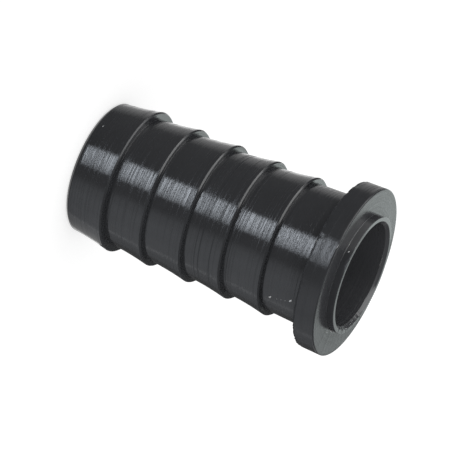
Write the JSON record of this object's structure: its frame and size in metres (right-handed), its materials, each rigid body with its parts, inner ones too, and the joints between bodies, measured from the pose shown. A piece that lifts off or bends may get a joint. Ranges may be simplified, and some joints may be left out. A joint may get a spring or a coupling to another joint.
{
  "type": "hose tail",
  "caption": "Plastic hose tail: a barbed stem for a 50 mm hose, a round flange for a union nut to bear on, and a short thin spigot round the mouth of a straight through bore.",
  "frame": {"origin": "centre of the hose end's face, where the tail stands", "axes": "+Z along the bore, from the hose end to the spigot"},
  "size_m": [0.0624, 0.0624, 0.1058],
  "materials": {
    "black_plastic": "semi-gloss black plastic with fine turning marks round the axis"
  },
  "bodies": {
    "root": {"hose_tail": "black_plastic"}
  },
  "joints": []
}
